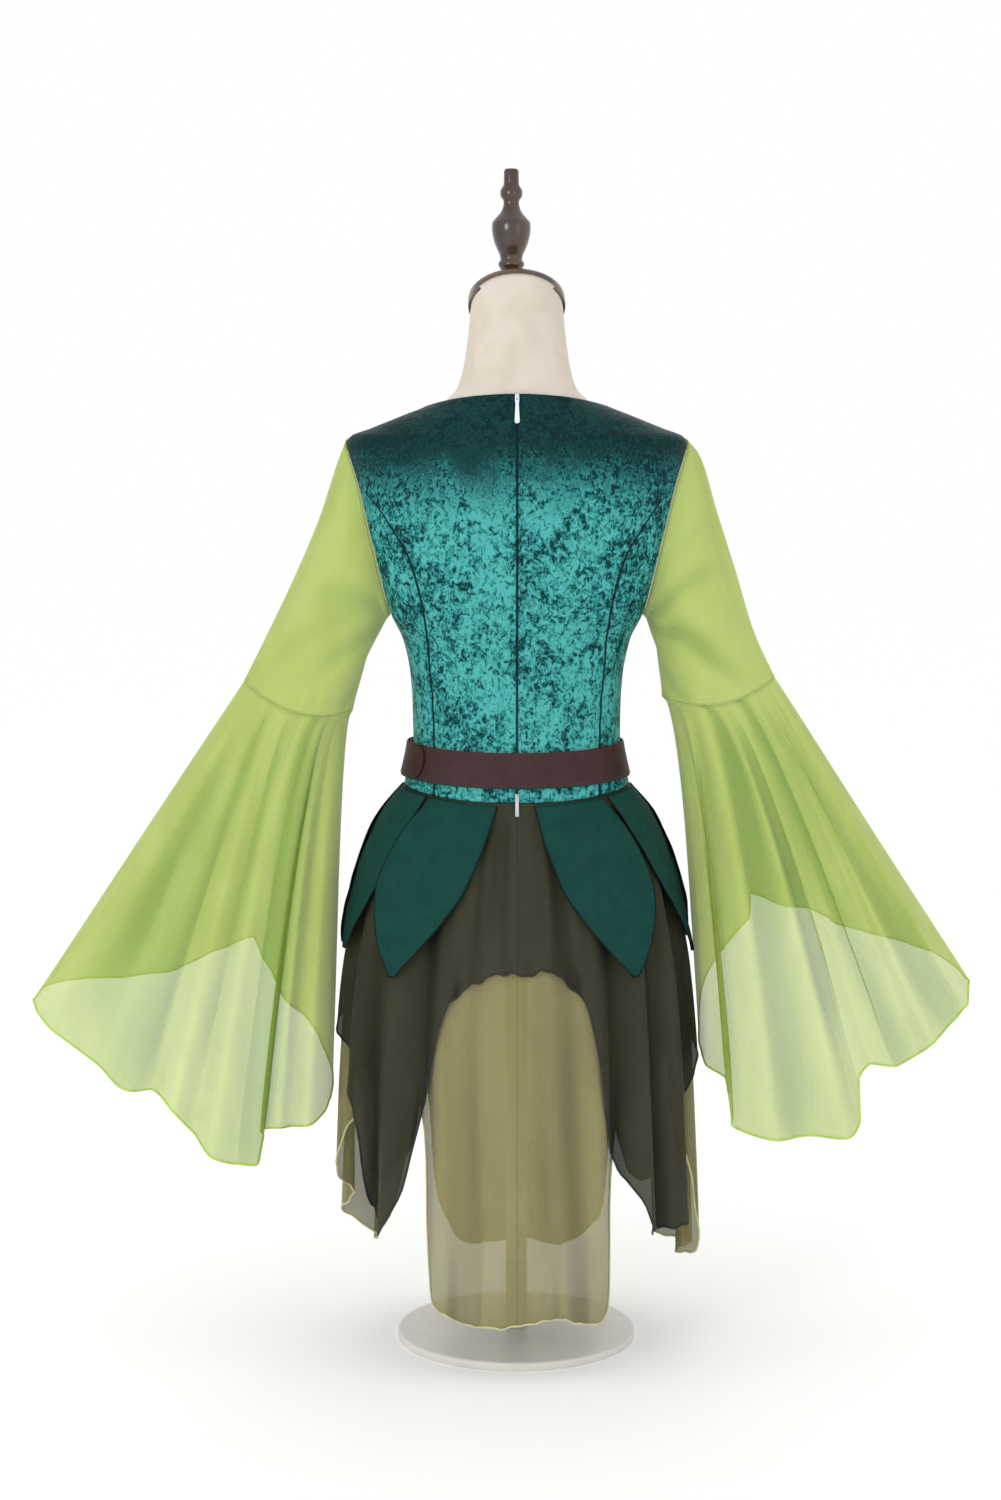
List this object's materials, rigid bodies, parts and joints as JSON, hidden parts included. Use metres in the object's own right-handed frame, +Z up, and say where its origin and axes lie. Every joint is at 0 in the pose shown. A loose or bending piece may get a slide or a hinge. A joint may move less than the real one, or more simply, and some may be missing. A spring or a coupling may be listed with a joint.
{
  "type": "fairy costume on a limbless dress form",
  "caption": "Fairy costume with velvet bodice, sheer bell sleeves, leaf petals, pointed chiffon skirt tiers and a belt, worn by a limbless dress form with a wooden finial.",
  "frame": {"origin": "on the floor, at the centre of the stand base's underside", "axes": "+Z up, -Y towards the wearer's back, which the picture shows, +X towards the wearer's right"},
  "size_m": [1.059, 0.3508, 1.314],
  "materials": {
    "velvet": "crushed pile",
    "petal_cloth": "matte weave",
    "lime_chiffon": "sheer weave",
    "khaki_chiffon": "sheer weave",
    "dark_chiffon": "sheer weave",
    "belt_leather": "grained",
    "linen": "plain weave",
    "dark_wood": "polished",
    "zip_enamel": "gloss",
    "zip_tape": "woven tape",
    "stand_paint": "satin"
  },
  "bodies": {
    "costume": {"bodice_centre_back_left": "velvet", "bodice_centre_back_right": "velvet", "bodice_side_back_left": "velvet", "bodice_side_back_right": "velvet", "bodice_side_front_left": "velvet", "bodice_side_front_right": "velvet", "bodice_centre_front": "velvet", "belt": "belt_leather", "upper_sleeve_left": "lime_chiffon", "upper_sleeve_right": "lime_chiffon", "bell_sleeve_left": "lime_chiffon", "bell_sleeve_right": "lime_chiffon", "petal_back_left": "petal_cloth", "petal_back_right": "petal_cloth", "petal_side_left": "petal_cloth", "petal_side_right": "petal_cloth", "petal_front_side_left": "petal_cloth", "petal_front_side_right": "petal_cloth", "petal_front_left": "petal_cloth", "petal_front_right": "petal_cloth", "skirt_dark_tier": "dark_chiffon", "skirt_khaki_tier": "khaki_chiffon", "zip_slider": "zip_enamel", "zip_tape_end": "zip_tape", "form_body": "linen", "neck_cap": "dark_wood", "finial": "dark_wood", "stand_pole": "stand_paint", "stand_base": "stand_paint"},
    "zip_pull": {"zip_pull": "zip_enamel"}
  },
  "joints": [
    {"name": "zip_pull_hinge", "type": "hinge", "parent": "costume", "child": "zip_pull", "pos_m": [0, -0.06425, 1.06334], "axis": [-1, 0, 0], "range_deg": [0, 150]}
  ]
}
